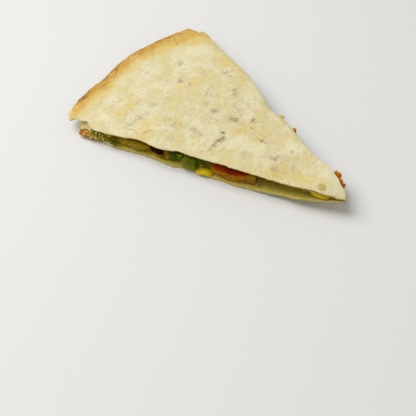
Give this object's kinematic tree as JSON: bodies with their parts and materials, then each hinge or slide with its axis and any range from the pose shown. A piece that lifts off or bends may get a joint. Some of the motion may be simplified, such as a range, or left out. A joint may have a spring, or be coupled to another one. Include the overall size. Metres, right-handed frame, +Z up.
{
  "type": "quesadilla wedge",
  "caption": "Wedge of a toasted quesadilla: flour tortillas over cheese, salsa, diced pepper, corn, tomato, beans and chicken.",
  "frame": {"origin": "under the middle of the wedge's bounding box, on the surface that it rests on", "axes": "+X towards the pointed tip, along the middle of the wedge; +Z up; -Y out of the front cut"},
  "size_m": [0.1514, 0.1018, 0.0132],
  "materials": {
    "toasted_tortilla": "dry floury tortilla, pale cream with toasted blotches and a golden-brown rim",
    "cheese_filling": "moist melted cheese and salsa with herbs",
    "pepper": "cooked green pepper, glossy skin",
    "corn": "glossy yellow corn kernel",
    "tomato": "wet orange-red tomato flesh",
    "onion": "translucent cooked onion",
    "bean": "very dark brown bean skin",
    "chicken": "moist fibrous cooked chicken"
  },
  "bodies": {
    "root": {"top_tortilla": "toasted_tortilla", "bottom_tortilla": "toasted_tortilla", "filling": "cheese_filling", "chicken_1": "chicken", "bean_1": "bean", "pepper_1": "pepper", "pepper_2": "pepper", "corn_1": "corn", "pepper_3": "pepper", "tomato_1": "tomato", "chicken_2": "chicken", "onion_1": "onion", "corn_2": "corn", "bean_2": "bean", "pepper_4": "pepper", "corn_3": "corn", "chicken_3": "chicken", "tomato_2": "tomato", "pepper_5": "pepper", "bean_3": "bean", "corn_4": "corn", "tomato_3": "tomato"}
  },
  "joints": []
}
